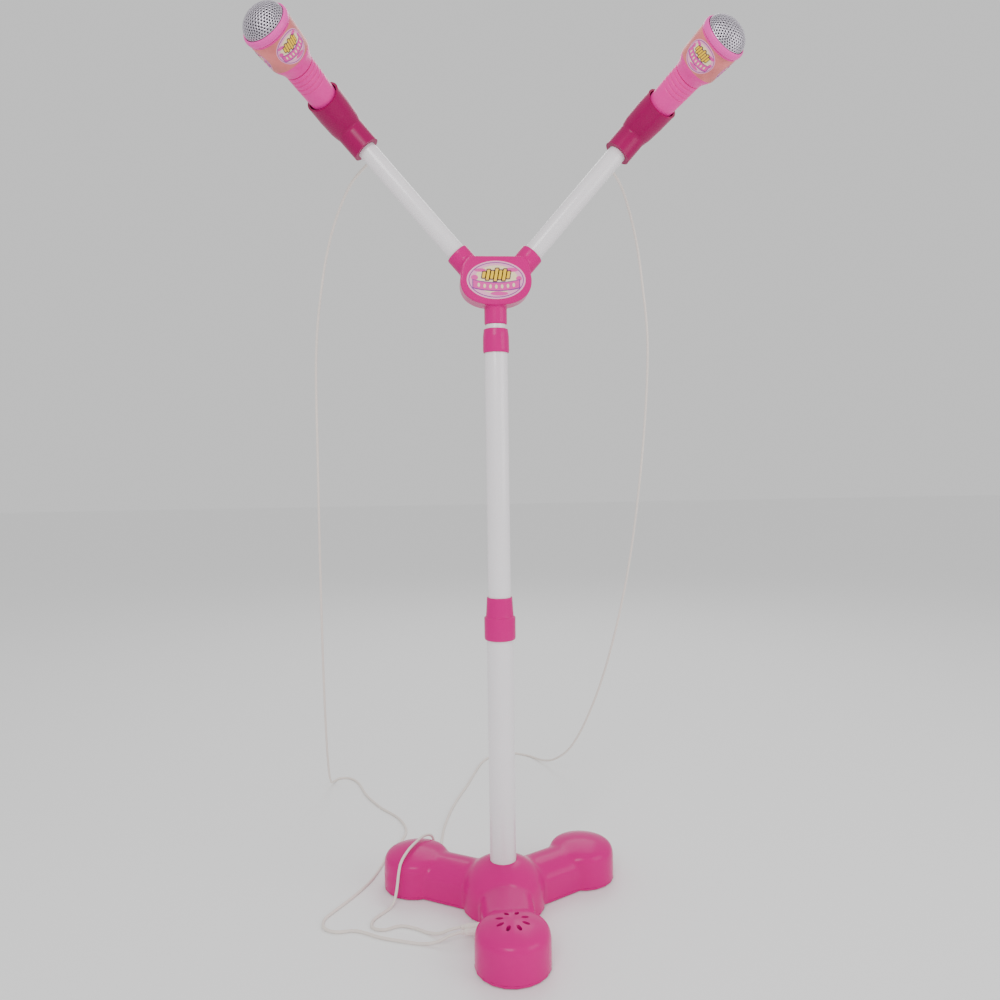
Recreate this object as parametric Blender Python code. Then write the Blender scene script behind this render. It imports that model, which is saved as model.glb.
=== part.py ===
"""Toy karaoke stand: a three-lobed base, a telescopic mast, a hub with two arms and two wired microphones.

Metres, +Z up. The origin is on the floor under the mast; the front lobe points along -Y.
"""

import math

import bmesh
import bpy
from mathutils import Matrix, Vector

MM = 0.001
GAP = 0.3 * MM

# Base
LOBE_RADIUS = 39 * MM
LOBE_OUT = 114.5 * MM
LOBE_WALL_TOP = 30 * MM
LOBE_TOP = 48 * MM
DOME_RADIUS = 47 * MM
DOME_TOP = 56 * MM
NECK_HALF = 29 * MM
NECK_TOP = 43 * MM
SHELL_LOW = 4 * MM
WALL = 2.2 * MM
PLATE_LOW = 1.5 * MM
LOBE_ANGLES = [math.radians(a) for a in (-90, 30, 150)]

# Mast
LOWER_R, LOWER_BORE = 14.9 * MM, 13.4 * MM
MIDDLE_R, MIDDLE_BORE = 12.8 * MM, 11.4 * MM
TOP_R, TOP_BORE = 10.9 * MM, 9.5 * MM
LOWER_TUBE = (12 * MM, 322 * MM)
MIDDLE_TUBE = (236 * MM, 641 * MM)
TOP_TUBE = (418 * MM, 686 * MM)
LOWER_COLLAR = (305.5 * MM, 331.5 * MM, 353 * MM)
UPPER_COLLAR = (624 * MM, 650 * MM)
NECK_LOW = 654.7 * MM

# Hub, arms and holders
HUB = Vector((0, 0, 702 * MM))
HUB_HALF_DEPTH = 15.5 * MM
ARM_TILT = math.radians(41)
EAR = Vector((42 * MM, 0, 733 * MM))
EAR_R, ARM_R, ARM_BORE = 13.2 * MM, 10.4 * MM, 9.1 * MM
SLEEVE_AT, ELBOW_AT = 145 * MM, 178 * MM
SLEEVE_R, CUP_R, CUP_BORE = 15.7 * MM, 18.9 * MM, 16.6 * MM
ELBOW_BEND = math.radians(52.7)
ELBOW_TURN = math.radians(7.7)
CUP_FLOOR, CUP_MOUTH = 9 * MM, 41.5 * MM

# Microphone, measured from the elbow along its own axis
MIC_TAIL = CUP_FLOOR + GAP
MIC_RIM = 133.5 * MM
HANDLE_R = 14.2 * MM
HEAD_R = 25 * MM
CORD_R = 1.6 * MM

SIDES = {"left": -1, "right": 1}


def collection(name):
    made = bpy.data.collections.new(name)
    bpy.context.scene.collection.children.link(made)
    return made


for old in list(bpy.data.objects):
    bpy.data.objects.remove(old)
PARTS = collection("karaoke_stand")
CUTTERS = collection("cutters")


def material(name, rgb, roughness, metallic=0.0):
    made = bpy.data.materials.new(name)
    made.use_nodes = True
    shader = made.node_tree.nodes["Principled BSDF"]
    shader.inputs["Base Color"].default_value = (*rgb, 1)
    shader.inputs["Roughness"].default_value = roughness
    shader.inputs["Metallic"].default_value = metallic
    return made


MAGENTA = ((0.9, 0.0, 0.3), 0.25)
WHITE = ((0.9, 0.88, 0.9), 0.3)
MIC_PINK = ((0.95, 0.1, 0.45), 0.35)
STEEL = ((0.6, 0.6, 0.62), 0.35, 1.0)
BLACK = ((0.03, 0.03, 0.03), 0.5)
GREEN = ((0.02, 0.2, 0.06), 0.5)
RUBBER = ((0.05, 0.05, 0.05), 0.8)
LABEL = ((0.9, 0.5, 0.6), 0.4)


def add(name, mesh, look=None, matrix=None):
    """Links a mesh as a part, or as a hidden cutter when it has no look."""
    obj = bpy.data.objects.new(name, mesh)
    obj.matrix_world = matrix or Matrix.Identity(4)
    if look is None:
        CUTTERS.objects.link(obj)
        obj.hide_render = True
        obj.display_type = "WIRE"
        return obj
    PARTS.objects.link(obj)
    mesh.materials.append(material(name, *look))
    mesh.shade_smooth()
    mesh.set_sharp_from_angle(angle=math.radians(35))
    return obj


def from_bmesh(name, built, look=None, matrix=None):
    mesh = bpy.data.meshes.new(name)
    bmesh.ops.recalc_face_normals(built, faces=built.faces)
    built.to_mesh(mesh)
    built.free()
    return add(name, mesh, look, matrix)


def turned(name, profile, look=None, matrix=None, steps=20):
    """A closed outline of (radius, height) points, spun about local Z."""
    built = bmesh.new()
    ring = [built.verts.new((radius, 0, height)) for radius, height in profile]
    edges = [built.edges.new(pair) for pair in zip(ring, ring[1:])]
    if profile[0][0] > 0:
        edges.append(built.edges.new((ring[-1], ring[0])))
    bmesh.ops.spin(
        built, geom=ring + edges, cent=(0, 0, 0), axis=(0, 0, 1), angle=2 * math.pi, steps=steps, use_merge=True
    )
    bmesh.ops.remove_doubles(built, verts=built.verts, dist=1e-6)
    return from_bmesh(name, built, look, matrix)


def tube(name, outer, bore, low, high, look=None, matrix=None, steps=20):
    return turned(name, [(bore, low), (outer, low), (outer, high), (bore, high)], look, matrix, steps)


def rod(name, radius, low, high, look=None, matrix=None, steps=20):
    return turned(name, [(0, low), (radius, low), (radius, high), (0, high)], look, matrix, steps)


def box(name, size, centre, look=None, turn=0.0):
    built = bmesh.new()
    bmesh.ops.create_cube(built, size=1)
    matrix = Matrix.Translation(centre) @ Matrix.Rotation(turn, 4, "Z")
    bmesh.ops.scale(built, vec=size, verts=built.verts)
    return from_bmesh(name, built, look, matrix)


def boolean(obj, others, operation, solver="EXACT"):
    for other in others:
        step = obj.modifiers.new(operation.lower() + "_" + other.name, "BOOLEAN")
        step.operation = operation
        step.solver = solver
        step.object = other
    return obj


def along(origin, direction, up=Vector((0, 0, 1))):
    """A matrix that sends local Z along direction, with local Y as near to up as it can be."""
    z_axis = direction.normalized()
    x_axis = up.cross(z_axis).normalized()
    y_axis = z_axis.cross(x_axis)
    turn = Matrix((x_axis, y_axis, z_axis)).transposed().to_4x4()
    return Matrix.Translation(origin) @ turn


def lobe_centre(angle, out=LOBE_OUT):
    return Vector((out * math.cos(angle), out * math.sin(angle), 0))


def arm_direction(side):
    return Vector((side * math.sin(ARM_TILT), 0, math.cos(ARM_TILT)))


def mic_direction(side):
    """The arm's direction bent forward by the elbow, which is turned a little outwards."""
    outward = Vector((side * math.cos(ARM_TILT), 0, -math.sin(ARM_TILT)))
    bend = Vector((0, -1, 0)) * math.cos(ELBOW_TURN) + outward * math.sin(ELBOW_TURN)
    return arm_direction(side) * math.cos(ELBOW_BEND) + bend * math.sin(ELBOW_BEND)


def ear_mouth(side):
    return Vector((side * EAR.x, 0, EAR.z))


def elbow(side):
    return ear_mouth(side) + arm_direction(side) * ELBOW_AT


# ---------------------------------------------------------------- base


def lobe_profile(inset, low):
    """Drum wall, a rounded shoulder and a shallow domed top."""
    radius = LOBE_RADIUS - inset
    points = [(0, low), (radius, low), (radius, LOBE_WALL_TOP - inset / 2)]
    for step in range(1, 4):
        angle = math.radians(90 * step / 3)
        drop = 1 - math.cos(angle)
        points.append((radius - 9 * MM * drop, LOBE_WALL_TOP - inset / 2 + 12 * MM * math.sin(angle)))
    points.append((radius * 0.45, LOBE_TOP - 1.5 * MM - inset))
    points.append((0, LOBE_TOP - inset))
    return points


def dome_profile(inset, low):
    radius = DOME_RADIUS - inset
    points = [(0, low), (radius, low), (radius, 22 * MM)]
    for step in range(1, 4):
        angle = math.radians(90 * step / 4)
        points.append((radius * math.cos(angle), 22 * MM + (DOME_TOP - inset - 22 * MM) * math.sin(angle)))
    points.append((0, DOME_TOP - inset))
    return points


def neck(name, angle, inset, low):
    """A bridge with a rounded top from the dome to one lobe."""
    half = NECK_HALF - inset
    top = NECK_TOP - inset
    built = bmesh.new()
    outline = [(-half, low), (half, low), (half, 24 * MM)]
    for step in range(1, 5):
        turn = math.radians(180 * step / 5)
        outline.append((half * math.cos(turn), 24 * MM + (top - 24 * MM) * math.sin(turn)))
    outline.append((-half, 24 * MM))
    near = [built.verts.new((0, y, z)) for y, z in outline]
    face = built.faces.new(near)
    moved = bmesh.ops.extrude_face_region(built, geom=[face])
    verts = [v for v in moved["geom"] if isinstance(v, bmesh.types.BMVert)]
    bmesh.ops.translate(built, vec=(LOBE_OUT, 0, 0), verts=verts)
    return from_bmesh(name, built, None, Matrix.Rotation(angle, 4, "Z"))


def base_form(name, inset, low, look=None):
    """The dome, lobes and necks joined, all drawn in by the same inset."""
    body = turned(name, dome_profile(inset, low), look)
    pieces = []
    for index, angle in enumerate(LOBE_ANGLES):
        place = Matrix.Translation(lobe_centre(angle))
        pieces.append(turned(f"{name}_lobe_{index}", lobe_profile(inset, low), None, place))
        pieces.append(neck(f"{name}_neck_{index}", angle, inset, low))
    return boolean(body, pieces, "UNION", "MANIFOLD")


JACKS = {"left": Vector((-29 * MM, -71 * MM, 12 * MM)), "right": Vector((-29 * MM, -61 * MM, 12 * MM))}
SWITCH = Vector((0, 46.2 * MM, 18 * MM))


def base():
    shell = base_form("base_shell", 0, SHELL_LOW, MAGENTA)
    hollow = base_form("base_hollow", WALL, SHELL_LOW - 3 * MM)
    mast_hole = rod("mast_hole", LOWER_R + GAP, 30 * MM, 70 * MM)
    boolean(shell, [hollow, mast_hole], "DIFFERENCE", "MANIFOLD")
    cuts = []
    for name, place in JACKS.items():
        matrix = along(place + Vector((-12 * MM, 0, 0)), Vector((1, 0, 0)))
        cuts.append(rod(f"jack_hole_{name}", 4.3 * MM, 0, 22 * MM, None, matrix, 16))
    cuts.append(box("switch_slot", (15 * MM, 12 * MM, 5 * MM), SWITCH))
    for index, angle in enumerate(LOBE_ANGLES):
        for hole in range(4):
            turn = angle + math.radians(90 * hole + 45)
            place = lobe_centre(angle) + Vector((math.cos(turn), math.sin(turn), 0)) * 19 * MM
            cuts.append(
                box(f"vent_{index}_{hole}", (9 * MM, 3.2 * MM, 30 * MM), place + Vector((0, 0, 46 * MM)), None, turn)
            )
    boolean(shell, cuts, "DIFFERENCE", "MANIFOLD")

    plate = base_form("plate_blank", 0, PLATE_LOW)
    slab = box("base_plate", (400 * MM, 400 * MM, 2.2 * MM), (0, 0, PLATE_LOW + 1.1 * MM), MAGENTA)
    boolean(slab, [plate], "INTERSECT", "MANIFOLD")
    door_hole = box("door_hole", (46 * MM, 30 * MM, 10 * MM), (0, 0, PLATE_LOW))
    boolean(slab, [door_hole], "DIFFERENCE")
    box("battery_door", (45.4 * MM, 29.4 * MM, 2 * MM), (0, 0, PLATE_LOW + 1.2 * MM), MAGENTA)
    for index, angle in enumerate(LOBE_ANGLES):
        place = Matrix.Translation(lobe_centre(angle))
        rod(f"foot_{index + 1}", 12 * MM, 0, PLATE_LOW - GAP, RUBBER, place, 24)
        screw_at = lobe_centre(angle, LOBE_OUT - 34 * MM)
        turned(
            f"base_screw_{index + 1}",
            [(0, 3.9 * MM), (1.4 * MM, 3.9 * MM), (1.4 * MM, 16 * MM), (0, 16 * MM)],
            STEEL,
            Matrix.Translation(screw_at + Vector((0, 0, GAP))),
            12,
        )


def base_inside():
    tube("mast_socket", 19 * MM, LOWER_R + GAP, 14 * MM, 48 * MM, MAGENTA, steps=16)
    for index in range(3):
        turn = Matrix.Rotation(math.radians(120 * index + 90), 4, "Z")
        lift = Matrix.Translation(Vector((0, 33 * MM, 11 * MM)))
        lay = Matrix.Rotation(math.radians(90), 4, "Y")
        rod(f"battery_{index + 1}", 7 * MM, -14 * MM, 14 * MM, ((0.1, 0.3, 0.6), 0.4), turn @ lift @ lay, 16)
    front = lobe_centre(LOBE_ANGLES[0])
    at_front = Matrix.Translation(front)
    turned(
        "speaker_basket",
        [(0, 13 * MM), (12 * MM, 13 * MM), (12 * MM, 22 * MM), (26 * MM, 33 * MM), (26 * MM, 35 * MM),
         (23 * MM, 35 * MM), (10 * MM, 24 * MM), (0, 24 * MM)],
        STEEL, at_front, 16,
    )
    turned(
        "speaker_cone",
        [(0, 25 * MM), (9 * MM, 25.5 * MM), (22 * MM, 35.5 * MM), (25 * MM, 35.5 * MM), (25 * MM, 36.5 * MM),
         (21 * MM, 36.5 * MM), (8 * MM, 27 * MM), (0, 27 * MM)],
        BLACK, at_front, 16,
    )
    box("circuit_board", (34 * MM, 34 * MM, 1.6 * MM), lobe_centre(LOBE_ANGLES[1]) + Vector((0, 0, 14 * MM)), GREEN)
    for name, place in JACKS.items():
        matrix = along(place, Vector((1, 0, 0)))
        turned(
            f"jack_{name}",
            [(1.9 * MM, 0), (4.0 * MM, 0), (4.0 * MM, 10 * MM), (0, 10 * MM), (0, 8.5 * MM), (1.9 * MM, 8.5 * MM)],
            BLACK, matrix, 16,
        )
    box("power_switch", (8 * MM, 6 * MM, 4.2 * MM), SWITCH + Vector((-3 * MM, 2 * MM, 0)), BLACK)


# ---------------------------------------------------------------- mast


def mast():
    tube("lower_tube", LOWER_R, LOWER_BORE, *LOWER_TUBE, WHITE)
    tube("lower_bush", LOWER_BORE - GAP, MIDDLE_R + 0.15 * MM, 290 * MM, 321 * MM, BLACK)
    low, step, top = LOWER_COLLAR
    turned(
        "lower_collar",
        [(LOWER_R + GAP, low), (17 * MM, low), (17.6 * MM, low + 2 * MM), (17.6 * MM, step - 1 * MM),
         (15.6 * MM, step), (14.4 * MM, top - 1 * MM), (14.1 * MM, top), (MIDDLE_R + GAP, top),
         (MIDDLE_R + GAP, LOWER_TUBE[1] + GAP), (LOWER_R + GAP, LOWER_TUBE[1] + GAP)],
        MAGENTA,
    )
    tube("middle_tube", MIDDLE_R, MIDDLE_BORE, *MIDDLE_TUBE, WHITE)
    low, top = UPPER_COLLAR
    turned(
        "upper_collar",
        [(MIDDLE_R + GAP, low), (14.1 * MM, low), (14.6 * MM, low + 3 * MM), (14.4 * MM, top - 8 * MM),
         (13.4 * MM, top), (TOP_R + GAP, top), (TOP_R + GAP, MIDDLE_TUBE[1] + GAP),
         (MIDDLE_R + GAP, MIDDLE_TUBE[1] + GAP)],
        MAGENTA,
    )
    tube("top_tube", TOP_R, TOP_BORE, *TOP_TUBE, WHITE)


# ---------------------------------------------------------------- hub


def hub_blank(name, look=None):
    """Flat-topped body with rounded lower corners, a neck and two raked ears."""
    built = bmesh.new()
    outline = [(-30, 26), (30, 26), (38.5, 14), (39, -4), (34, -20), (22, -28), (-22, -28), (-34, -20), (-39, -4), (-38.5, 14)]
    verts = [built.verts.new((x * MM, -HUB_HALF_DEPTH, z * MM)) for x, z in outline]
    face = built.faces.new(verts)
    moved = bmesh.ops.extrude_face_region(built, geom=[face])
    far = [v for v in moved["geom"] if isinstance(v, bmesh.types.BMVert)]
    bmesh.ops.translate(built, vec=(0, 2 * HUB_HALF_DEPTH, 0), verts=far)
    edges = [e for e in built.edges if abs(e.verts[0].co.y - e.verts[1].co.y) < 1e-6]
    bmesh.ops.bevel(built, geom=edges, offset=5 * MM, segments=1, profile=0.5, affect="EDGES")
    body = from_bmesh(name, built, look, Matrix.Translation(HUB))
    joined = [rod(f"{name}_neck", 12.6 * MM, NECK_LOW, HUB.z, None)]
    for label, side in SIDES.items():
        matrix = along(ear_mouth(side), arm_direction(side), Vector((0, 1, 0)))
        joined.append(rod(f"{name}_ear_{label}", EAR_R, -34 * MM, 0, None, matrix))
    return boolean(body, joined, "UNION")


def hub():
    bores = [rod("hub_mast_bore", TOP_R + GAP, NECK_LOW - 5 * MM, TOP_TUBE[1] + GAP)]
    for label, side in SIDES.items():
        matrix = along(ear_mouth(side), arm_direction(side), Vector((0, 1, 0)))
        bores.append(rod(f"hub_arm_bore_{label}", ARM_R + GAP, -20 * MM, 5 * MM, None, matrix))
    split = GAP / 2
    for name, sign in (("hub_front", -1), ("hub_rear", 1)):
        half = hub_blank(name, MAGENTA)
        keep = box(
            f"{name}_half", (200 * MM, 60 * MM, 300 * MM), (0, sign * (30 * MM + split), HUB.z)
        )
        boolean(half, [keep], "INTERSECT")
        boolean(half, bores, "DIFFERENCE")
    recess = label_disc("label_recess", 0.3 * MM, -HUB_HALF_DEPTH + 0.9 * MM, -HUB_HALF_DEPTH - 3 * MM)
    boolean(bpy.data.objects["hub_front"], [recess], "DIFFERENCE")
    label_disc("hub_label", 0, -HUB_HALF_DEPTH + 0.6 * MM, -HUB_HALF_DEPTH - 0.6 * MM, LABEL)
    for label, side in SIDES.items():
        place = along(Vector((side * 27 * MM, HUB_HALF_DEPTH - 3 * MM, HUB.z - 8 * MM)), Vector((0, 1, 0)))
        sink = rod(f"screw_sink_{label}", 2.9 * MM, 0, 10 * MM, None, place, 16)
        boolean(bpy.data.objects["hub_rear"], [sink], "DIFFERENCE")
        rod(f"hub_screw_{label}", 2.5 * MM, GAP, 2.6 * MM, STEEL, place, 16)


def label_disc(name, grow, near, far, look=None):
    """An oval plate in the hub's front face, between two depths."""
    matrix = Matrix.Translation(HUB) @ Matrix.Rotation(math.radians(90), 4, "X")
    disc = rod(name, 1, -near, -far, look, matrix, 28)
    for vert in disc.data.vertices:
        vert.co.x *= 32 * MM + grow
        vert.co.y *= 20.5 * MM + grow
    return disc


def arms():
    for label, side in SIDES.items():
        matrix = along(ear_mouth(side), arm_direction(side), Vector((0, 1, 0)))
        tube(f"arm_tube_{label}", ARM_R, ARM_BORE, -19 * MM, ELBOW_AT - 15.5 * MM, WHITE, matrix)
        sleeve = rod(f"holder_{label}", SLEEVE_R, SLEEVE_AT, ELBOW_AT, MAGENTA, matrix)
        cup_at = along(elbow(side), mic_direction(side), Vector((0, 1, 0)))
        cup = turned(
            f"cup_{label}",
            [(0, -13 * MM), (11 * MM, -12 * MM), (16.5 * MM, -6 * MM), (18 * MM, 4 * MM), (CUP_R, 22 * MM),
             (CUP_R, CUP_MOUTH), (0, CUP_MOUTH)],
            None, cup_at,
        )
        boolean(sleeve, [cup], "UNION")
        cuts = [
            rod(f"cup_bore_{label}", CUP_BORE, CUP_FLOOR, CUP_MOUTH + 9 * MM, None, cup_at),
            rod(f"cord_way_{label}", 5.5 * MM, -30 * MM, CUP_FLOOR + 2 * MM, None, cup_at, 12),
            rod(f"sleeve_bore_{label}", ARM_R + GAP, SLEEVE_AT - 9 * MM, ELBOW_AT - 15 * MM, None, matrix),
        ]
        boolean(sleeve, cuts, "DIFFERENCE")


# ---------------------------------------------------------------- microphones


def microphone(label, side):
    place = along(elbow(side), mic_direction(side), Vector((0, 1, 0)))
    rim = MIC_RIM

    def piece(name, profile, look, steps=20):
        return turned(f"mic_{label}_{name}", profile, look, place, steps)

    outer = []
    inner = []
    for step in range(5):
        angle = math.radians(90 * step / 4)
        outer.append((22.6 * MM * math.cos(angle), rim + 14.5 * MM * math.sin(angle)))
        inner.append((21.2 * MM * math.cos(angle), rim + 13.1 * MM * math.sin(angle)))
    skirt = [(21.2 * MM, rim - 3 * MM), (22.6 * MM, rim - 3 * MM)]
    grille = [(0, inner[-1][1])] + inner[:-1][::-1] + skirt + outer[:-1] + [(0, outer[-1][1])]
    piece("grille", grille, STEEL)
    piece(
        "ring",
        [(22.9 * MM, rim - 6 * MM), (HEAD_R - 0.6 * MM, rim - 6 * MM), (HEAD_R, rim - 3 * MM), (HEAD_R - 0.8 * MM, rim + 0.5 * MM),
         (22.9 * MM, rim + 0.5 * MM)],
        MIC_PINK,
    )
    bottom = rim - 52 * MM
    piece(
        "head",
        [(0, bottom + 3 * MM), (14.5 * MM, bottom + 3 * MM), (14.5 * MM, bottom), (16.2 * MM, bottom),
         (17 * MM, bottom + 4 * MM), (20.5 * MM, bottom + 10 * MM), (22 * MM, bottom + 14 * MM),
         (22.1 * MM, rim - 38 * MM), (23.7 * MM, rim - 7 * MM), (24.2 * MM, rim - 6.3 * MM), (21.5 * MM, rim - 6.3 * MM),
         (20 * MM, rim - 36 * MM), (14 * MM, bottom + 6 * MM), (0, bottom + 6 * MM)],
        MIC_PINK,
    )
    handle = [(0, bottom + 2.5 * MM), (13 * MM, bottom + 2.5 * MM), (13 * MM, bottom - GAP)]
    handle += [(16 * MM, bottom - GAP), (15.7 * MM, bottom - 20 * MM), (HANDLE_R, MIC_TAIL + 12 * MM), (HANDLE_R - 0.4 * MM, MIC_TAIL + 1 * MM),
               (12.8 * MM, MIC_TAIL), (3.3 * MM, MIC_TAIL), (3.3 * MM, MIC_TAIL + 8 * MM), (11 * MM, MIC_TAIL + 10 * MM),
               (11 * MM, bottom - 4 * MM), (0, bottom - 4 * MM)]
    piece("handle", handle[::-1], MIC_PINK)
    piece("capsule", [(0, rim - 14 * MM), (9 * MM, rim - 14 * MM), (9 * MM, rim - 4 * MM), (0, rim - 4 * MM)], STEEL, 24)
    piece(
        "relief",
        [(CORD_R + GAP, MIC_TAIL - 9 * MM), (2.3 * MM, MIC_TAIL - 9 * MM), (3.0 * MM, MIC_TAIL + 7 * MM),
         (CORD_R + GAP, MIC_TAIL + 7 * MM)],
        MIC_PINK, 16,
    )


# ---------------------------------------------------------------- cords


def smooth_points(route, spacing):
    """Points a fixed distance apart on a Catmull-Rom curve through the route."""
    ends = [2 * route[0] - route[1]] + route + [2 * route[-1] - route[-2]]
    fine = []
    for a, b, c, d in zip(ends, ends[1:], ends[2:], ends[3:]):
        for part in range(24):
            t = part / 24
            fine.append(
                0.5 * (2 * b + (c - a) * t + (2 * a - 5 * b + 4 * c - d) * t**2 + (3 * b - a - 3 * c + d) * t**3)
            )
    fine.append(route[-1])
    total = sum((q - p).length for p, q in zip(fine, fine[1:]))
    count = max(3, round(total / spacing))
    chosen = [fine[0]]
    walked = 0.0
    for p, q in zip(fine, fine[1:]):
        step = (q - p).length
        while len(chosen) < count and walked + step >= len(chosen) * total / count:
            share = (len(chosen) * total / count - walked) / step
            chosen.append(p.lerp(q, share))
        walked += step
    return chosen + [fine[-1]]


def cord(name, points):
    data = bpy.data.curves.new(name, "CURVE")
    data.dimensions = "3D"
    data.bevel_depth = CORD_R
    data.bevel_resolution = 2
    data.use_fill_caps = True
    spline = data.splines.new("POLY")
    spline.points.add(len(points) - 1)
    for place, point in zip(spline.points, points):
        place.co = (*point, 1)
    PARTS.objects.link(bpy.data.objects.new(name, data))
    data.materials.append(material(name, *WHITE))


# Each cord from the height where it has left its microphone, down to the floor and round to its jack, in mm
ROUTES = {
    "left": [
        (-215, 137, 640), (-218, 150, 500), (-222, 178, 350), (-226, 213, 220), (-230, 254, 125), (-234, 300, 56),
        (-237, 345, 18), (-238, 380, 3), (-230, 401, 0), (-212, 398, 0), (-197, 374, 0), (-181, 326, 0),
        (-157, 280, 0), (-131, 243, 0), (-118, 205, 0), (-122, 172, 0), (-137, 138, 0), (-146, 98, 0), (-156, 66, 0),
        (-172, 34, 0), (-190, 5, 0), (-200, -13, 0), (-198, -30, 0), (-184, -39, 0), (-166, -38, 0), (-152, -44, 0),
        (-136, -54, 0), (-116, -62, 0), (-92, -70, 0), (-75, -73, 3), (-63, -72, 8),
    ],
    "right": [
        (206, 137, 640), (203, 160, 500), (193, 200, 350), (176, 250, 220), (157, 300, 125), (137, 350, 56),
        (117, 398, 18), (100, 436, 3), (80, 468, 0), (50, 484, 0), (20, 474, 0), (0, 444, 0), (-14, 400, 0),
        (-28, 350, 0), (-44, 300, 0), (-57, 250, 0), (-66, 200, 0), (-70, 150, 0), (-69, 122, 0), (-74, 104, 5),
        (-77, 98, 18), (-79, 94, 33), (-82, 89, 42.5), (-90, 75, 49), (-99, 57, 50.5), (-108, 40, 49),
        (-116, 26, 42.5), (-119, 20, 33), (-121, 16, 18), (-124, 10, 5), (-129, 3, 0), (-136, -6, 0), (-146, -20, 0),
        (-146, -34, 0), (-133, -40, 0), (-116, -34, 0), (-100, -40, 0), (-86, -50, 0), (-73, -58, 3), (-62, -60.5, 8),
    ],
}
FLOOR_Z = CORD_R + 0.1 * MM
JOINS = {"upper": 640 * MM, "lower": 350 * MM, "floor": 4 * MM}
PLUG_LENGTH = 22 * MM
CORD_STEP = 12 * MM


def cord_route(label, side):
    """From the microphone's tail, out behind the elbow, down and across the floor to the plug."""
    axis = mic_direction(side)
    route = [elbow(side) + axis * out for out in (0, -15 * MM, -32 * MM, -50 * MM)]
    path = [Vector((x * MM, y * MM, z * MM + FLOOR_Z)) for x, y, z in ROUTES[label]]
    bend, first = route[-1], path[0]
    for share, drop in ((0.35, 20), (0.65, 62), (0.85, 118)):
        level = bend.lerp(first, share)
        route.append(Vector((level.x, level.y, bend.z - drop * MM)))
    plug_end = JACKS[label] - Vector((PLUG_LENGTH + GAP, 0, 0))
    return route + path + [plug_end]


def cords():
    for label, side in SIDES.items():
        points = smooth_points(cord_route(label, side), CORD_STEP)
        stretch, stretches = "tail", {"tail": []}
        for point in points:
            stretches[stretch].append(point)
            following = [name for name, height in JOINS.items() if name not in stretches and point.z < height]
            if following:
                stretch = following[0]
                stretches[stretch] = [point]
        for stretch, run in stretches.items():
            if stretch != "floor":
                run = run[:-1:2] + run[-1:]
            if stretch != "tail":
                run[0] = run[0] + (run[1] - run[0]).normalized() * 1.5 * GAP
            cord(f"cord_{label}_{stretch}", run)
        turned(
            f"plug_{label}",
            [(0, -PLUG_LENGTH), (2.2 * MM, -PLUG_LENGTH), (3.6 * MM, -15 * MM), (3.9 * MM, -2.5 * MM),
             (3.6 * MM, -GAP), (1.6 * MM, -GAP), (1.6 * MM, 7.5 * MM), (0, 8 * MM)],
            WHITE, along(JACKS[label], Vector((1, 0, 0))), 16,
        )


base()
base_inside()
mast()
hub()
arms()
for microphone_label, microphone_side in SIDES.items():
    microphone(microphone_label, microphone_side)
cords()
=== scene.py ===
import math

import bmesh
import bpy
from mathutils import Matrix, Vector, kdtree


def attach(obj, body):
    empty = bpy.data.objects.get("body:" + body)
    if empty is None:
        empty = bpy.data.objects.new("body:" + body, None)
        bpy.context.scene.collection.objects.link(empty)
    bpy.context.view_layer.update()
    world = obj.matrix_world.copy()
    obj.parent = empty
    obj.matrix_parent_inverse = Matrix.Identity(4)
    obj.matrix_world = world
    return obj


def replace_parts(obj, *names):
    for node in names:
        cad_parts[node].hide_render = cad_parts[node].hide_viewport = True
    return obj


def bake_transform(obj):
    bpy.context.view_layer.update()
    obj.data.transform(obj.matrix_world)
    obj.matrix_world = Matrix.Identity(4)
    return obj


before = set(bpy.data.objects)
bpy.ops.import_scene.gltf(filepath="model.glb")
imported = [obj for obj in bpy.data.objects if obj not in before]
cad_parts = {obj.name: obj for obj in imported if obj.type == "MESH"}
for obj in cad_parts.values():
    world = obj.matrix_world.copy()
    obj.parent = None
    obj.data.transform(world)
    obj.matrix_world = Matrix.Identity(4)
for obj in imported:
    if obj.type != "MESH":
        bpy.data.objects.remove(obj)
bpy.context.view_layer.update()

MM = 0.001
GAP = 0.3 * MM
SIDES = {"left": -1, "right": 1}
FINE = 64

# ---------------------------------------------------------------- dimensions shared with the CAD

LOBE_RADIUS, LOBE_OUT = 39 * MM, 114.5 * MM
LOBE_WALL_TOP, LOBE_TOP = 30 * MM, 48 * MM
DOME_RADIUS, DOME_TOP = 47 * MM, 56 * MM
NECK_HALF, NECK_TOP = 29 * MM, 43 * MM
SHELL_LOW = 4 * MM
LOBE_ANGLES = [math.radians(a) for a in (-90, 30, 150)]
LOWER_R, LOWER_BORE = 14.9 * MM, 13.4 * MM
MIDDLE_R, MIDDLE_BORE = 12.8 * MM, 11.4 * MM
TOP_R, TOP_BORE = 10.9 * MM, 9.5 * MM
HUB = Vector((0, 0, 702 * MM))
HUB_HALF_DEPTH = 15.5 * MM
NECK_LOW = 654.7 * MM
ARM_TILT = math.radians(41)
EAR = Vector((42 * MM, 0, 733 * MM))
EAR_R, ARM_R, ARM_BORE = 13.2 * MM, 10.4 * MM, 9.1 * MM
SLEEVE_AT, ELBOW_AT = 145 * MM, 178 * MM
SLEEVE_R, CUP_R, CUP_BORE = 15.7 * MM, 18.9 * MM, 16.6 * MM
ELBOW_BEND, ELBOW_TURN = math.radians(52.7), math.radians(7.7)
CUP_FLOOR, CUP_MOUTH = 9 * MM, 41.5 * MM
MIC_TAIL, MIC_RIM = CUP_FLOOR + GAP, 133.5 * MM
CORD_R = 1.6 * MM
FLOOR_Z = CORD_R + 0.1 * MM
PLUG_LENGTH = 22 * MM
JACKS = {"left": Vector((-29 * MM, -71 * MM, 12 * MM)), "right": Vector((-29 * MM, -61 * MM, 12 * MM))}


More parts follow.
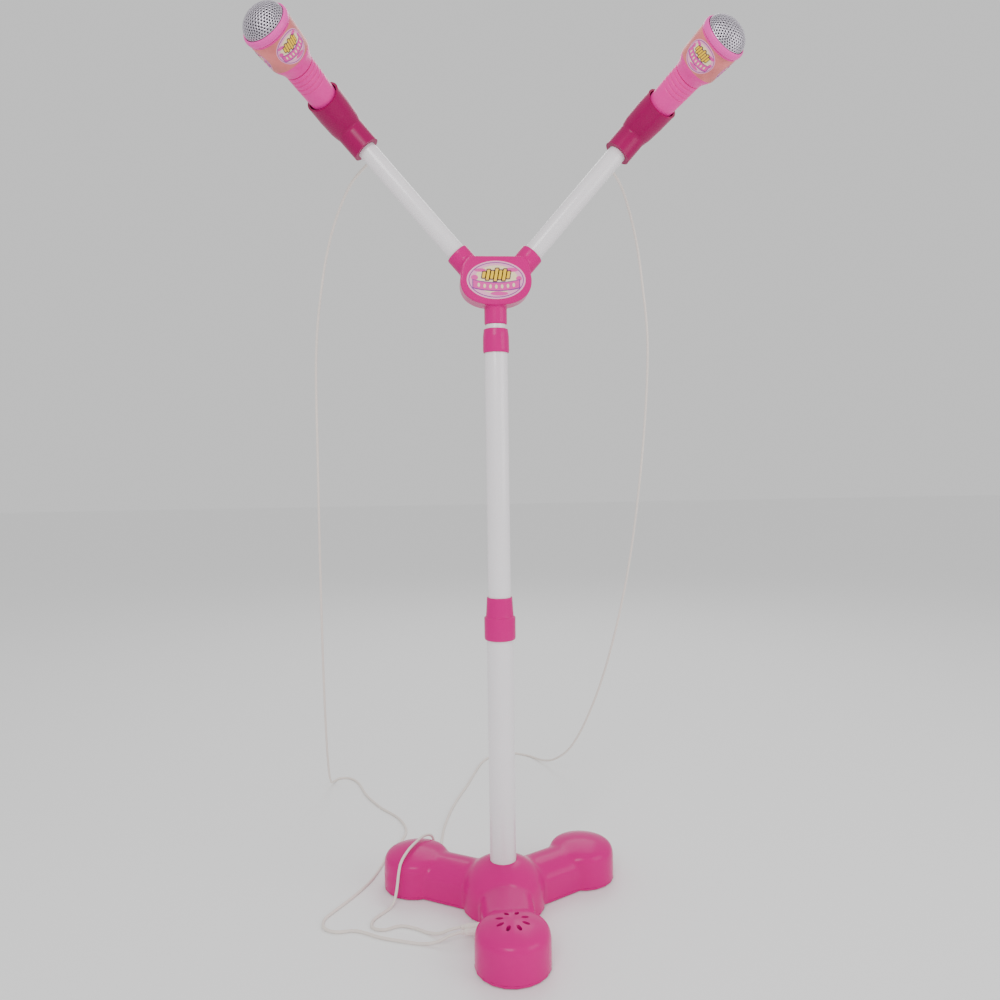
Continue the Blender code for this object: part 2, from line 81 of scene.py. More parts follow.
def along(origin, direction, up=Vector((0, 1, 0))):
    z_axis = direction.normalized()
    x_axis = up.cross(z_axis).normalized()
    turn = Matrix((x_axis, z_axis.cross(x_axis), z_axis)).transposed().to_4x4()
    return Matrix.Translation(origin) @ turn


def arm_direction(side):
    return Vector((side * math.sin(ARM_TILT), 0, math.cos(ARM_TILT)))


def mic_direction(side):
    outward = Vector((side * math.cos(ARM_TILT), 0, -math.sin(ARM_TILT)))
    bend = Vector((0, -1, 0)) * math.cos(ELBOW_TURN) + outward * math.sin(ELBOW_TURN)
    return arm_direction(side) * math.cos(ELBOW_BEND) + bend * math.sin(ELBOW_BEND)


def ear_mouth(side):
    return Vector((side * EAR.x, 0, EAR.z))


def elbow(side):
    return ear_mouth(side) + arm_direction(side) * ELBOW_AT


def arm_place(side):
    return along(ear_mouth(side), arm_direction(side))


def mic_place(side):
    return along(elbow(side), mic_direction(side))


# ---------------------------------------------------------------- materials


def plastic(name, colour, rough, grain=0.12, scale=90.0, shade=0.82, coat=0.0, metal=0.0, mottle=6.0,
            spec=0.5):
    """Moulded plastic: slow colour drift, a fine grain in the bump and uneven gloss."""
    made = bpy.data.materials.new(name)
    made.use_nodes = True
    tree = made.node_tree
    shader = tree.nodes["Principled BSDF"]
    place = tree.nodes.new("ShaderNodeTexCoord")
    drift = tree.nodes.new("ShaderNodeTexNoise")
    drift.inputs["Scale"].default_value = mottle
    drift.inputs["Detail"].default_value = 3
    ramp = tree.nodes.new("ShaderNodeValToRGB")
    ramp.color_ramp.elements[0].position = 0.3
    ramp.color_ramp.elements[0].color = (*[c * shade for c in colour], 1)
    ramp.color_ramp.elements[1].position = 0.7
    ramp.color_ramp.elements[1].color = (*colour, 1)
    fine = tree.nodes.new("ShaderNodeTexNoise")
    fine.inputs["Scale"].default_value = scale * 10
    fine.inputs["Detail"].default_value = 4
    gloss = tree.nodes.new("ShaderNodeMapRange")
    gloss.inputs["To Min"].default_value = max(0.02, rough - 0.06)
    gloss.inputs["To Max"].default_value = rough + 0.08
    bump = tree.nodes.new("ShaderNodeBump")
    bump.inputs["Strength"].default_value = grain
    bump.inputs["Distance"].default_value = 0.0003
    link = tree.links.new
    link(place.outputs["Object"], drift.inputs["Vector"])
    link(place.outputs["Object"], fine.inputs["Vector"])
    link(drift.outputs["Fac"], ramp.inputs["Fac"])
    link(ramp.outputs["Color"], shader.inputs["Base Color"])
    link(fine.outputs["Fac"], gloss.inputs["Value"])
    link(gloss.outputs["Result"], shader.inputs["Roughness"])
    link(fine.outputs["Fac"], bump.inputs["Height"])
    link(bump.outputs["Normal"], shader.inputs["Normal"])
    shader.inputs["Metallic"].default_value = metal
    shader.inputs["Coat Weight"].default_value = coat
    shader.inputs["Specular IOR Level"].default_value = spec
    return made


MAGENTA = plastic("magenta_gloss", (0.64, 0.0, 0.21), 0.2, 0.05, shade=0.9, spec=0.16)
# Holder: the magenta darkened all over, painted shade standing in for the shade on the cup
HOLDER_MAGENTA_PAINTED_SHADE = plastic("holder_magenta_painted_shade", (0.36, 0.0, 0.1), 0.26, 0.05, spec=0.2)
WHITE = plastic("white_tube", (0.9, 0.86, 0.89), 0.25, 0.05, shade=0.95, coat=0.3)
PINK = plastic("mic_pink", (0.95, 0.03, 0.38), 0.3, 0.08, shade=0.88, spec=0.25)
RING_PINK = plastic("ring_pink", (0.97, 0.07, 0.48), 0.25, 0.05, shade=0.9, spec=0.25)
PEACH = plastic("label_peach", (0.88, 0.2, 0.2), 0.35, 0.03, shade=0.62, mottle=45.0)
SILVER = plastic("grille_silver", (0.72, 0.66, 0.76), 0.25, 0.05, shade=0.7, metal=1.0)
FOAM = plastic("grille_foam", (0.035, 0.02, 0.045), 0.9, 0.8, scale=40)
CORD = plastic("cord_pvc", (0.86, 0.78, 0.72), 0.45, 0.1, shade=0.9)
BLACK = plastic("black_plastic", (0.03, 0.03, 0.035), 0.45, 0.3)
RUBBER = plastic("rubber", (0.05, 0.05, 0.05), 0.8, 0.5)
STEEL = plastic("zinc_steel", (0.6, 0.6, 0.62), 0.32, 0.15, metal=1.0)
BOARD = plastic("board_green", (0.02, 0.2, 0.07), 0.4, 0.2)
BATTERY = plastic("battery_wrap", (0.12, 0.3, 0.6), 0.35, 0.1)
CREAM = plastic("print_cream", (0.95, 0.8, 0.45), 0.35, 0.02, shade=0.94)
PALE = plastic("print_pale_pink", (0.95, 0.38, 0.62), 0.35, 0.02, shade=0.9)
PURPLE = plastic("print_purple", (0.25, 0.02, 0.3), 0.35, 0.02)
HOT = plastic("print_hot_pink", (0.85, 0.05, 0.4), 0.35, 0.02)
YELLOW = plastic("print_yellow", (1.0, 0.62, 0.0), 0.35, 0.02, shade=0.9)
DARK = plastic("print_dark", (0.1, 0.02, 0.06), 0.4, 0.02)


# ---------------------------------------------------------------- mesh helpers


def piece(name, built, look, body, matrix=None, sharp=32):
    """A bmesh made a piece in world coordinates, which rides on a body."""
    mesh = bpy.data.meshes.new(name)
    bmesh.ops.recalc_face_normals(built, faces=built.faces)
    if matrix is not None:
        built.transform(matrix)
    built.to_mesh(mesh)
    built.free()
    mesh.materials.append(look)
    mesh.shade_smooth()
    mesh.set_sharp_from_angle(angle=math.radians(sharp))
    obj = bpy.data.objects.new(name, mesh)
    bpy.context.scene.collection.objects.link(obj)
    if body:
        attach(obj, body)
    return obj


def spun(profile, steps=FINE):
    """A closed outline of (radius, height) points, spun about local Z."""
    built = bmesh.new()
    ring = [built.verts.new((radius, 0, height)) for radius, height in profile]
    edges = [built.edges.new(pair) for pair in zip(ring, ring[1:])]
    if profile[0][0] > 0:
        edges.append(built.edges.new((ring[-1], ring[0])))
    bmesh.ops.spin(built, geom=ring + edges, cent=(0, 0, 0), axis=(0, 0, 1), angle=2 * math.pi, steps=steps,
                   use_merge=True)
    bmesh.ops.remove_doubles(built, verts=built.verts, dist=1e-6)
    bmesh.ops.recalc_face_normals(built, faces=built.faces)
    return built


def rounded(profile, radius, steps=3):
    """The same outline with each corner off the axis cut into a short arc."""
    points = [Vector(p) for p in profile]
    made = []
    for index, point in enumerate(points):
        before, after = points[index - 1], points[(index + 1) % len(points)]
        first, second = before - point, after - point
        reach = min(radius, first.length * 0.45, second.length * 0.45)
        if point.x < 1e-6 or reach < 1e-6 or abs(first.angle(second) - math.pi) < 0.05:
            made.append(tuple(point))
            continue
        start, end = point + first.normalized() * reach, point + second.normalized() * reach
        for step in range(steps + 1):
            t = step / steps
            made.append(tuple(start * (1 - t) ** 2 + point * 2 * t * (1 - t) + end * t * t))
    return made


def turned(name, profile, look, body, matrix=None, round_by=0.5 * MM, steps=FINE):
    return piece(name, spun(rounded(profile, round_by), steps), look, body, matrix)


def tube(name, outer, bore, low, high, look, body, matrix=None):
    return turned(name, [(bore, low), (outer, low), (outer, high), (bore, high)], look, body, matrix)


def form(name, built, matrix=None):
    """A helper solid for a Boolean."""
    made = piece(name, built, MAGENTA, None, matrix)
    return made


def cylinder(radius, low, high, steps=FINE):
    return spun([(0, low), (radius, low), (radius, high), (0, high)], steps)


def block(size, centre, turn=0.0):
    built = bmesh.new()
    bmesh.ops.create_cube(built, size=1)
    bmesh.ops.scale(built, vec=size, verts=built.verts)
    built.transform(Matrix.Translation(centre) @ Matrix.Rotation(turn, 4, "Z"))
    return built


def apply_modifiers(obj):
    graph = bpy.context.evaluated_depsgraph_get()
    mesh = bpy.data.meshes.new_from_object(obj.evaluated_get(graph))
    old = obj.data
    obj.modifiers.clear()
    obj.data = mesh
    bpy.data.meshes.remove(old)
    return obj


def combine(obj, others, operation):
    for other in others:
        step = obj.modifiers.new(operation, "BOOLEAN")
        step.operation = operation
        step.solver = "MANIFOLD"
        step.object = other
    bpy.context.view_layer.update()
    apply_modifiers(obj)
    for other in others:
        bpy.data.objects.remove(other)
    return obj


def blended(obj, voxel, smooth):
    """One smooth skin over joined forms."""
    step = obj.modifiers.new("skin", "REMESH")
    step.mode = "VOXEL"
    step.voxel_size = voxel
    ease = obj.modifiers.new("ease", "SMOOTH")
    ease.iterations = smooth
    ease.factor = 0.5
    bpy.context.view_layer.update()
    return apply_modifiers(obj)


def finish_piece(obj, name, look, body, sharp=40):
    obj.name = name
    obj.data.materials.clear()
    obj.data.materials.append(look)
    obj.data.shade_smooth()
    obj.data.set_sharp_from_angle(angle=math.radians(sharp))
    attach(obj, body)
    return obj


# ---------------------------------------------------------------- camera and cords

CAMERA_FROM = Vector((-69.2 * MM, -914.9 * MM, 503.5 * MM))
CAMERA_YAW, CAMERA_DOWN, CAMERA_ROLL = -4.45, 2.617, -0.795
LENS_MM = 29.7


def camera():
    data = bpy.data.cameras.new("view")
    data.lens = LENS_MM
    data.sensor_width = 36
    data.clip_start = 0.02
    obj = bpy.data.objects.new("view", data)
    turn = Matrix.Rotation(math.radians(CAMERA_YAW), 4, "Z")
    tilt = Matrix.Rotation(math.radians(90 - CAMERA_DOWN), 4, "X")
    roll = Matrix.Rotation(math.radians(CAMERA_ROLL), 4, "Z")
    obj.matrix_world = Matrix.Translation(CAMERA_FROM) @ turn @ tilt @ roll
    bpy.context.scene.collection.objects.link(obj)
    bpy.context.scene.camera = obj


ROUTES = {
    "left": [
        (-215, 137, 640), (-218, 150, 500), (-222, 178, 350), (-226, 213, 220), (-230, 254, 125),
        (-234, 300, 56), (-237, 345, 18), (-238, 380, 3), (-230, 401, 0), (-212, 398, 0),
        (-197, 374, 0), (-181, 326, 0), (-157, 280, 0), (-131, 243, 0), (-118, 205, 0),
        (-122, 172, 0), (-137, 138, 0), (-146, 98, 0), (-156, 66, 0), (-172, 34, 0), (-190, 5, 0),
        (-200, -13, 0), (-198, -30, 0), (-184, -39, 0), (-166, -38, 0), (-152, -44, 0),
        (-136, -54, 0), (-116, -62, 0), (-92, -70, 0), (-75, -73, 3), (-63, -72, 8),
    ],
    "right": [
        (206, 137, 640), (203, 160, 500), (193, 200, 350), (176, 250, 220), (157, 300, 125),
        (137, 350, 56), (117, 398, 18), (100, 436, 3), (80, 468, 0), (50, 484, 0), (20, 474, 0),
        (0, 444, 0), (-14, 400, 0), (-28, 350, 0), (-44, 300, 0), (-57, 250, 0), (-66, 200, 0),
        (-70, 150, 0), (-69, 122, 0), (-74, 104, 5), (-77, 98, 18), (-79, 94, 33), (-82, 89, 42.5),
        (-90, 75, 49), (-99, 57, 50.5), (-108, 40, 49), (-116, 26, 42.5), (-119, 20, 33),
        (-121, 16, 18), (-124, 10, 5), (-129, 3, 0), (-136, -6, 0), (-146, -20, 0), (-146, -34, 0),
        (-133, -40, 0), (-116, -34, 0), (-100, -40, 0), (-86, -50, 0), (-73, -58, 3),
        (-62, -60.5, 8),
    ],
}
JOINS = {"upper": 640 * MM, "lower": 350 * MM, "floor": 4 * MM}
CORD_STEP = 6 * MM


def smooth_points(route, spacing):
    """Points a fixed distance apart on a Catmull-Rom curve through the route."""
    ends = [2 * route[0] - route[1]] + route + [2 * route[-1] - route[-2]]
    fine = []
    for a, b, c, d in zip(ends, ends[1:], ends[2:], ends[3:]):
        for part in range(24):
            t = part / 24
            square, cube = 2 * a - 5 * b + 4 * c - d, 3 * b - a - 3 * c + d
            fine.append(0.5 * (2 * b + (c - a) * t + square * t**2 + cube * t**3))
    fine.append(route[-1])
    total = sum((q - p).length for p, q in zip(fine, fine[1:]))
    count = max(3, round(total / spacing))
    chosen = [fine[0]]
    walked = 0.0
    for p, q in zip(fine, fine[1:]):
        step = (q - p).length
        while len(chosen) < count and walked + step >= len(chosen) * total / count:
            chosen.append(p.lerp(q, (len(chosen) * total / count - walked) / step))
        walked += step
    return chosen + [fine[-1]]


def cord_route(label, side):
    axis = mic_direction(side)
    route = [elbow(side) + axis * out for out in (0, -15 * MM, -32 * MM, -50 * MM)]
    path = [Vector((x * MM, y * MM, z * MM + FLOOR_Z)) for x, y, z in ROUTES[label]]
    bend, first = route[-1], path[0]
    for share, drop in ((0.35, 20), (0.65, 62), (0.85, 118)):
        level = bend.lerp(first, share)
        route.append(Vector((level.x, level.y, bend.z - drop * MM)))
    plug_end = JACKS[label] - Vector((PLUG_LENGTH + GAP, 0, 0))
    return route + path + [plug_end]


def sweep(name, points, radius, look, sides=14):
    """A tube along the points, its ring carried round each bend without twisting."""
    built = bmesh.new()
    across = (points[1] - points[0]).orthogonal().normalized()
    rings = []
    for index, point in enumerate(points):
        ahead = points[min(index + 1, len(points) - 1)] - points[max(index - 1, 0)]
        ahead.normalize()
        across = (across - ahead * across.dot(ahead)).normalized()
        other = ahead.cross(across)
        ring = []
        for step in range(sides):
            turn = 2 * math.pi * step / sides
            ring.append(built.verts.new(point + (across * math.cos(turn) + other * math.sin(turn)) * radius))
        rings.append(ring)
    for ring, following in zip(rings, rings[1:]):
        for step in range(sides):
            after = (step + 1) % sides
            built.faces.new((ring[step], ring[after], following[after], following[step]))
    built.faces.new(rings[0][::-1])
    built.faces.new(rings[-1])
    return piece(name, built, look, None)


def cords():
    for label, side in SIDES.items():
        points = smooth_points(cord_route(label, side), CORD_STEP)
        stretch, stretches = "tail", {"tail": []}
        for point in points:
            stretches[stretch].append(point)
            following = [name for name, height in JOINS.items() if name not in stretches and point.z < height]
            if following:
                stretch = following[0]
                stretches[stretch] = [point]
        plug = turned(
            f"plug_{label}_moulded",
            [(0, -PLUG_LENGTH), (2.2 * MM, -PLUG_LENGTH), (2.5 * MM, -19 * MM), (2.2 * MM, -18.4 * MM),
             (2.8 * MM, -17 * MM), (3.5 * MM, -15 * MM), (3.9 * MM, -2.5 * MM), (3.6 * MM, -GAP),
             (1.6 * MM, -GAP), (1.6 * MM, 7 * MM), (0.6 * MM, 8 * MM), (0, 8 * MM)],
            CORD, "root", along(JACKS[label], Vector((1, 0, 0)), Vector((0, 0, 1))), 0.3 * MM, 24,
        )
        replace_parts(plug, f"plug_{label}")
        crossing = {"tail": (f"mic_{label}", "mast_top"), "upper": ("mast_top", "mast_middle"),
                    "lower": ("mast_middle", "root")}
        for stretch, run in stretches.items():
            cord = sweep(f"cord_{label}_{stretch}_run", run, CORD_R, CORD)
            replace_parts(cord, f"cord_{label}_{stretch}")
            if stretch in crossing:
                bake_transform(cord)
            else:
                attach(cord, "root")


# ---------------------------------------------------------------- printed emblem


def flat_shape(outline, rings=8):
    """Points of a filled outline, ring by ring, so that it can bend over a curved surface."""
    built = bmesh.new()
    centre = Vector((sum(x for x, _ in outline) / len(outline), sum(y for _, y in outline) / len(outline)))
    middle = built.verts.new((centre.x, centre.y, 0))
    previous = None
    for ring in range(1, rings + 1):
        share = ring / rings
        verts = [built.verts.new((centre.x + (x - centre.x) * share, centre.y + (y - centre.y) * share, 0))
                 for x, y in outline]
        for index in range(len(verts)):
            after = (index + 1) % len(verts)
            if previous:
                built.faces.new((previous[index], previous[after], verts[after], verts[index]))
            else:
                built.faces.new((middle, verts[after], verts[index]))
        previous = verts
    return built


def oval(wide, high, x=0.0, y=0.0, points=56):
    return [(x + wide * math.cos(2 * math.pi * i / points), y + high * math.sin(2 * math.pi * i / points))
            for i in range(points)]


def bar(x, y, wide, high):
    """A rounded upright bar, leaning a little."""
    outline = []
    for corner, (sx, sy) in enumerate(((1, 1), (-1, 1), (-1, -1), (1, -1))):
        for step in range(5):
            turn = math.radians(90 * corner + 90 * step / 4)
            px = sx * (wide - min(wide, high) * 0.5) + min(wide, high) * 0.5 * math.cos(turn)
            py = sy * (high - min(wide, high) * 0.5) + min(wide, high) * 0.5 * math.sin(turn)
            outline.append((x + px + 0.18 * py, y + py))
    return outline


def ribbon(wide, y, thick, sag, points=20):
    """A banner that bows downwards in its middle."""
    upper, lower = [], []
    for i in range(points + 1):
        x = wide * (2 * i / points - 1)
        drop = sag * (1 - (x / wide) ** 2)
        upper.append((x, y + thick - drop))
        lower.append((x, y - thick - drop))
    return lower + upper[::-1]


BAR_HEIGHTS = (0.10, 0.17, 0.13, 0.21, 0.15, 0.19, 0.12)


def emblem(name, body, to_surface, lift):
    """Oval badge in units of its half width: rims, field, swirls, a row of level bars and a banner."""
    layers = [("rim", [oval(1.0, 0.64)], PALE), ("line", [oval(0.95, 0.6)], PURPLE),
              ("field", [oval(0.92, 0.57)], PALE),
              ("glow", [oval(0.74, 0.47, 0.0, 0.02)], CREAM),
              ("swirl", [oval(0.20, 0.06, -0.55, 0.33), oval(0.24, 0.07, 0.52, 0.34),
                         oval(0.3, 0.07, 0.1, -0.46), oval(0.12, 0.09, -0.74, 0.08),
                         oval(0.1, 0.08, 0.78, 0.05)], HOT),
              ("banner_edge", [ribbon(0.82, -0.13, 0.155, 0.10)], PURPLE),
              ("banner", [ribbon(0.79, -0.13, 0.125, 0.10)], HOT),
              ("dots", [oval(0.045, 0.07, x, -0.13 - 0.1 * (1 - x**2 / 0.62), 16)
                        for x in (-0.6 + 0.2 * i for i in range(7))], CREAM)]
    bars = [(-0.42 + 0.14 * i, 0.17, 0.05, height) for i, height in enumerate(BAR_HEIGHTS)]
    layers.append(("bar_edge", [bar(x, y, wide + 0.035, high + 0.035) for x, y, wide, high in bars], DARK))
    layers.append(("bars", [bar(x, y, wide, high) for x, y, wide, high in bars], YELLOW))
    for level, (label, outlines, look) in enumerate(layers):
        whole = bmesh.new()
        for outline in outlines:
            shape = flat_shape(outline, 6 if len(outline) > 30 else 2)
            mesh = bpy.data.meshes.new("layer")
            shape.to_mesh(mesh)
            shape.free()
            whole.from_mesh(mesh)
            bpy.data.meshes.remove(mesh)
        raised = bmesh.ops.extrude_face_region(whole, geom=list(whole.faces))
        top = {v for v in raised["geom"] if isinstance(v, bmesh.types.BMVert)}
        high = lift + 0.045 * MM * (level + 1)
        for vert in whole.verts:
            vert.co = to_surface(vert.co.x, vert.co.y, high if vert in top else lift)
        piece(f"{name}_{label}", whole, look, body)


# ---------------------------------------------------------------- base


FORM_LOW = -20 * MM
BASE_VOXEL, BASE_EASE = 1.7 * MM, 40
FRONT_LOBE = LOBE_ANGLES[0]
VENTS, VENT_RING = 8, 14 * MM
VENT_LONG, VENT_WIDE = 4.2 * MM, 2.2 * MM


def lobe_profile():
    points = [(0, FORM_LOW), (LOBE_RADIUS, FORM_LOW), (LOBE_RADIUS, LOBE_WALL_TOP)]
    for step in range(1, 9):
        angle = math.radians(90 * step / 8)
        radius = LOBE_RADIUS - 9 * MM * (1 - math.cos(angle))
        points.append((radius, LOBE_WALL_TOP + 12 * MM * math.sin(angle)))
    for step in range(1, 8):
        radius = (LOBE_RADIUS - 9 * MM) * (1 - step / 7)
        share = 1 - (radius / (LOBE_RADIUS - 9 * MM)) ** 2
        points.append((radius, LOBE_WALL_TOP + 12 * MM + (LOBE_TOP - LOBE_WALL_TOP - 12 * MM) * share))
    return points


def dome_profile():
    points = [(0, FORM_LOW), (DOME_RADIUS, FORM_LOW), (DOME_RADIUS, 22 * MM)]
    for step in range(1, 13):
        angle = math.radians(90 * step / 12)
        points.append((DOME_RADIUS * math.cos(angle), 22 * MM + (DOME_TOP - 22 * MM) * math.sin(angle)))
    points[-1] = (0, DOME_TOP)
    return points


def neck_form(angle):
    built = bmesh.new()
    outline = [(-NECK_HALF, FORM_LOW), (NECK_HALF, FORM_LOW)]
    for step in range(0, 17):
        turn = math.radians(180 * step / 16)
        outline.append((NECK_HALF * math.cos(turn), 22 * MM + (NECK_TOP - 22 * MM) * math.sin(turn)))
    face = built.faces.new([built.verts.new((0, y, z)) for y, z in outline])
    moved = bmesh.ops.extrude_face_region(built, geom=[face])
    verts = [v for v in moved["geom"] if isinstance(v, bmesh.types.BMVert)]
    bmesh.ops.translate(built, vec=(LOBE_OUT, 0, 0), verts=verts)
    return form("neck", built, Matrix.Rotation(angle, 4, "Z"))


def lobe_centre(angle):
    return Vector((LOBE_OUT * math.cos(angle), LOBE_OUT * math.sin(angle), 0))


def base():
    body = form("base_form", spun(dome_profile()))
    others = [neck_form(angle) for angle in LOBE_ANGLES]
    for angle in LOBE_ANGLES:
        others.append(form("lobe", spun(lobe_profile()), Matrix.Translation(lobe_centre(angle))))
    combine(body, others, "UNION")
    blended(body, BASE_VOXEL, BASE_EASE)
    cuts = [form("mast_cut", cylinder(LOWER_R + GAP, 30 * MM, 80 * MM))]
    cuts.append(form("floor_cut", block((1, 1, 0.1), (0, 0, SHELL_LOW - 0.05))))
    for place in JACKS.values():
        matrix = along(place + Vector((-12 * MM, 0, 0)), Vector((1, 0, 0)), Vector((0, 0, 1)))
        cuts.append(form("jack_cut", cylinder(4.3 * MM, 0, 22 * MM, 32), matrix))
    cuts.append(form("switch_cut", block((15 * MM, 12 * MM, 5 * MM), (0, 46.2 * MM, 18 * MM))))
    for slot in range(VENTS):
        turn = FRONT_LOBE + 2 * math.pi * (slot + 0.5) / VENTS
        spot = lobe_centre(FRONT_LOBE) + Vector((math.cos(turn), math.sin(turn), 0)) * VENT_RING
        petal = cylinder(1, 40 * MM, 60 * MM, 24)
        bmesh.ops.scale(petal, vec=(VENT_LONG, VENT_WIDE, 1), verts=petal.verts)
        cuts.append(form("vent_cut", petal, Matrix.Translation(spot) @ Matrix.Rotation(turn, 4, "Z")))
    combine(body, cuts, "DIFFERENCE")
    finish_piece(body, "base_shell_moulded", MAGENTA, "root")
    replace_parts(body, "base_shell")
    disc = [(0, 41 * MM), (26 * MM, 41 * MM), (26 * MM, 42 * MM), (0, 42.4 * MM)]
    for index, angle in enumerate(LOBE_ANGLES):
        turned(f"vent_mesh_{index + 1}", disc, BLACK, "root", Matrix.Translation(lobe_centre(angle)))


# ---------------------------------------------------------------- mast


def mast():
    for name, outer, bore, low, high, body in (
        ("lower_tube", LOWER_R, LOWER_BORE, 12 * MM, 322 * MM, "root"),
        ("middle_tube", MIDDLE_R, MIDDLE_BORE, 236 * MM, 641 * MM, "mast_middle"),
        ("top_tube", TOP_R, TOP_BORE, 418 * MM, 686 * MM, "mast_top"),
    ):
        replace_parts(tube(name + "_fine", outer, bore, low, high, WHITE, body), name)
    low, step, top = 305.5 * MM, 331.5 * MM, 353 * MM
    lower = turned(
        "lower_collar_fine",
        [(LOWER_R + GAP, low), (17 * MM, low), (17.6 * MM, low + 2 * MM), (17.6 * MM, step - 1 * MM),
         (15.7 * MM, step), (15.2 * MM, step + 6 * MM), (14.4 * MM, top - 1.5 * MM), (14.1 * MM, top),
         (MIDDLE_R + GAP, top), (MIDDLE_R + GAP, 322 * MM + GAP), (LOWER_R + GAP, 322 * MM + GAP)],
        MAGENTA, "collar_low", None, 0.8 * MM,
    )
    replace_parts(lower, "lower_collar")
    low, top = 624 * MM, 650 * MM
    upper = turned(
        "upper_collar_fine",
        [(MIDDLE_R + GAP, low), (14.1 * MM, low), (14.6 * MM, low + 3 * MM), (14.4 * MM, top - 8 * MM),
         (13.4 * MM, top), (TOP_R + GAP, top), (TOP_R + GAP, 641 * MM + GAP),
         (MIDDLE_R + GAP, 641 * MM + GAP)],
        MAGENTA, "collar_high", None, 0.8 * MM,
    )
    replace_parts(upper, "upper_collar")


# ---------------------------------------------------------------- hub


HUB_TOP = 24.3
HUB_VOXEL, HUB_EASE = 0.9 * MM, 16
HUB_BADGE = 31.6 * MM
LABEL_DROP = 1.5 * MM


def hub_form():
    built = bmesh.new()
    outline = [(-30, HUB_TOP), (30, HUB_TOP), (36.5, 16)]
    for step in range(25):
        turn = math.radians(180 * step / 24)
        wide, low = abs(math.cos(turn)) ** 0.85, math.sin(turn) ** 0.85
        outline.append((math.copysign(39 * wide, math.cos(turn)), -1 - 27 * low))
    outline.append((-36.5, 16))
    face = built.faces.new([built.verts.new((x * MM, -HUB_HALF_DEPTH, z * MM)) for x, z in outline])
    moved = bmesh.ops.extrude_face_region(built, geom=[face])
    far = [v for v in moved["geom"] if isinstance(v, bmesh.types.BMVert)]
    bmesh.ops.translate(built, vec=(0, 2 * HUB_HALF_DEPTH, 0), verts=far)
    body = form("hub_form", built, Matrix.Translation(HUB))
    joined = [form("neck", cylinder(12.6 * MM, NECK_LOW, HUB.z))]
    for side in SIDES.values():
        joined.append(form("ear", cylinder(EAR_R, -34 * MM, 0), arm_place(side)))
    combine(body, joined, "UNION")
    return blended(body, HUB_VOXEL, HUB_EASE)


def hub():
    for name, sign in (("hub_front", -1), ("hub_rear", 1)):
        half = hub_form()
        keep = form("half", block((200 * MM, 60 * MM, 300 * MM), (0, sign * (30 * MM + GAP / 2), HUB.z)))
        combine(half, [keep], "INTERSECT")
        cuts = [form("mast_bore", cylinder(TOP_R + GAP, NECK_LOW - 5 * MM, 686 * MM + GAP))]
        for side in SIDES.values():
            cuts.append(form("arm_bore", cylinder(ARM_R + GAP, -20 * MM, 5 * MM), arm_place(side)))
            if sign > 0:
                screw = Vector((side * 27 * MM, HUB_HALF_DEPTH - 3 * MM, HUB.z - 8 * MM))
                place = along(screw, Vector((0, 1, 0)), Vector((0, 0, 1)))
                cuts.append(form("sink", cylinder(2.9 * MM, 0, 10 * MM, 24), place))
        combine(half, cuts, "DIFFERENCE")
        finish_piece(half, name + "_moulded", MAGENTA, "mast_top")
        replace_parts(half, name)
    face_y = -HUB_HALF_DEPTH
    plate_at = Matrix.Translation(HUB - Vector((0, 0, LABEL_DROP)))
    plate_matrix = plate_at @ Matrix.Rotation(math.radians(90), 4, "X")
    plate = spun(rounded([(0, -face_y - 0.6 * MM), (1, -face_y - 0.6 * MM), (1, -face_y + 0.4 * MM),
                          (0, -face_y + 0.4 * MM)], 0.05 * MM), 96)
    bmesh.ops.scale(plate, vec=(32 * MM, 20.5 * MM, 1), verts=plate.verts)
    label = piece("hub_label_plate", plate, PALE, "mast_top", plate_matrix)
    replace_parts(label, "hub_label")

    def on_plate(x, y, high):
        return Vector((x * HUB_BADGE, face_y - 0.4 * MM - high, HUB.z - LABEL_DROP + y * HUB_BADGE))

    emblem("hub_badge", "mast_top", on_plate, 0.0)


# ---------------------------------------------------------------- arms and holders


HOLDER_VOXEL, HOLDER_EASE = 0.8 * MM, 6
TRIM, TRIM_R, TRIM_DEEP = 4 * MM, 30 * MM, 20 * MM


def arms():
    for label, side in SIDES.items():
        matrix = arm_place(side)
        arm = tube(f"arm_{label}_fine", ARM_R, ARM_BORE, -19 * MM, ELBOW_AT - 15.5 * MM, WHITE, "mast_top",
                   matrix)
        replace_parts(arm, f"arm_tube_{label}")
        cup_at = mic_place(side)
        sleeve_low = SLEEVE_AT - TRIM
        holder = form("holder", spun(rounded([(0, sleeve_low), (SLEEVE_R, sleeve_low), (SLEEVE_R, ELBOW_AT),
                                              (0, ELBOW_AT)], 0.8 * MM)), matrix)
        cup = form("cup", spun([(0, -13 * MM), (8 * MM, -12.6 * MM), (13 * MM, -10 * MM),
                                (16.5 * MM, -5 * MM), (18 * MM, 4 * MM), (CUP_R, 22 * MM),
                                (CUP_R, CUP_MOUTH + TRIM), (0, CUP_MOUTH + TRIM)]), cup_at)
        combine(holder, [cup], "UNION")
        blended(holder, HOLDER_VOXEL, HOLDER_EASE)
        cuts = [
            form("mouth_trim", cylinder(TRIM_R, CUP_MOUTH, CUP_MOUTH + TRIM_DEEP), cup_at),
            form("sleeve_trim", cylinder(TRIM_R, SLEEVE_AT - TRIM_DEEP, SLEEVE_AT), matrix),
            form("cup_bore", cylinder(CUP_BORE, CUP_FLOOR, CUP_MOUTH + 9 * MM), cup_at),
            form("cord_way", cylinder(5.5 * MM, -30 * MM, CUP_FLOOR + 2 * MM, 32), cup_at),
            form("sleeve_bore", cylinder(ARM_R + GAP, SLEEVE_AT - 9 * MM, ELBOW_AT - 15 * MM), matrix),
        ]
        combine(holder, cuts, "DIFFERENCE")
        finish_piece(holder, f"holder_{label}_moulded", HOLDER_MAGENTA_PAINTED_SHADE, "mast_top")
        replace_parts(holder, f"holder_{label}")


# ---------------------------------------------------------------- microphones


GRILLE_LEVEL = 4
GRILLE_HOLE = 1.12 * MM
HOLE_REACH = 0.6 * MM


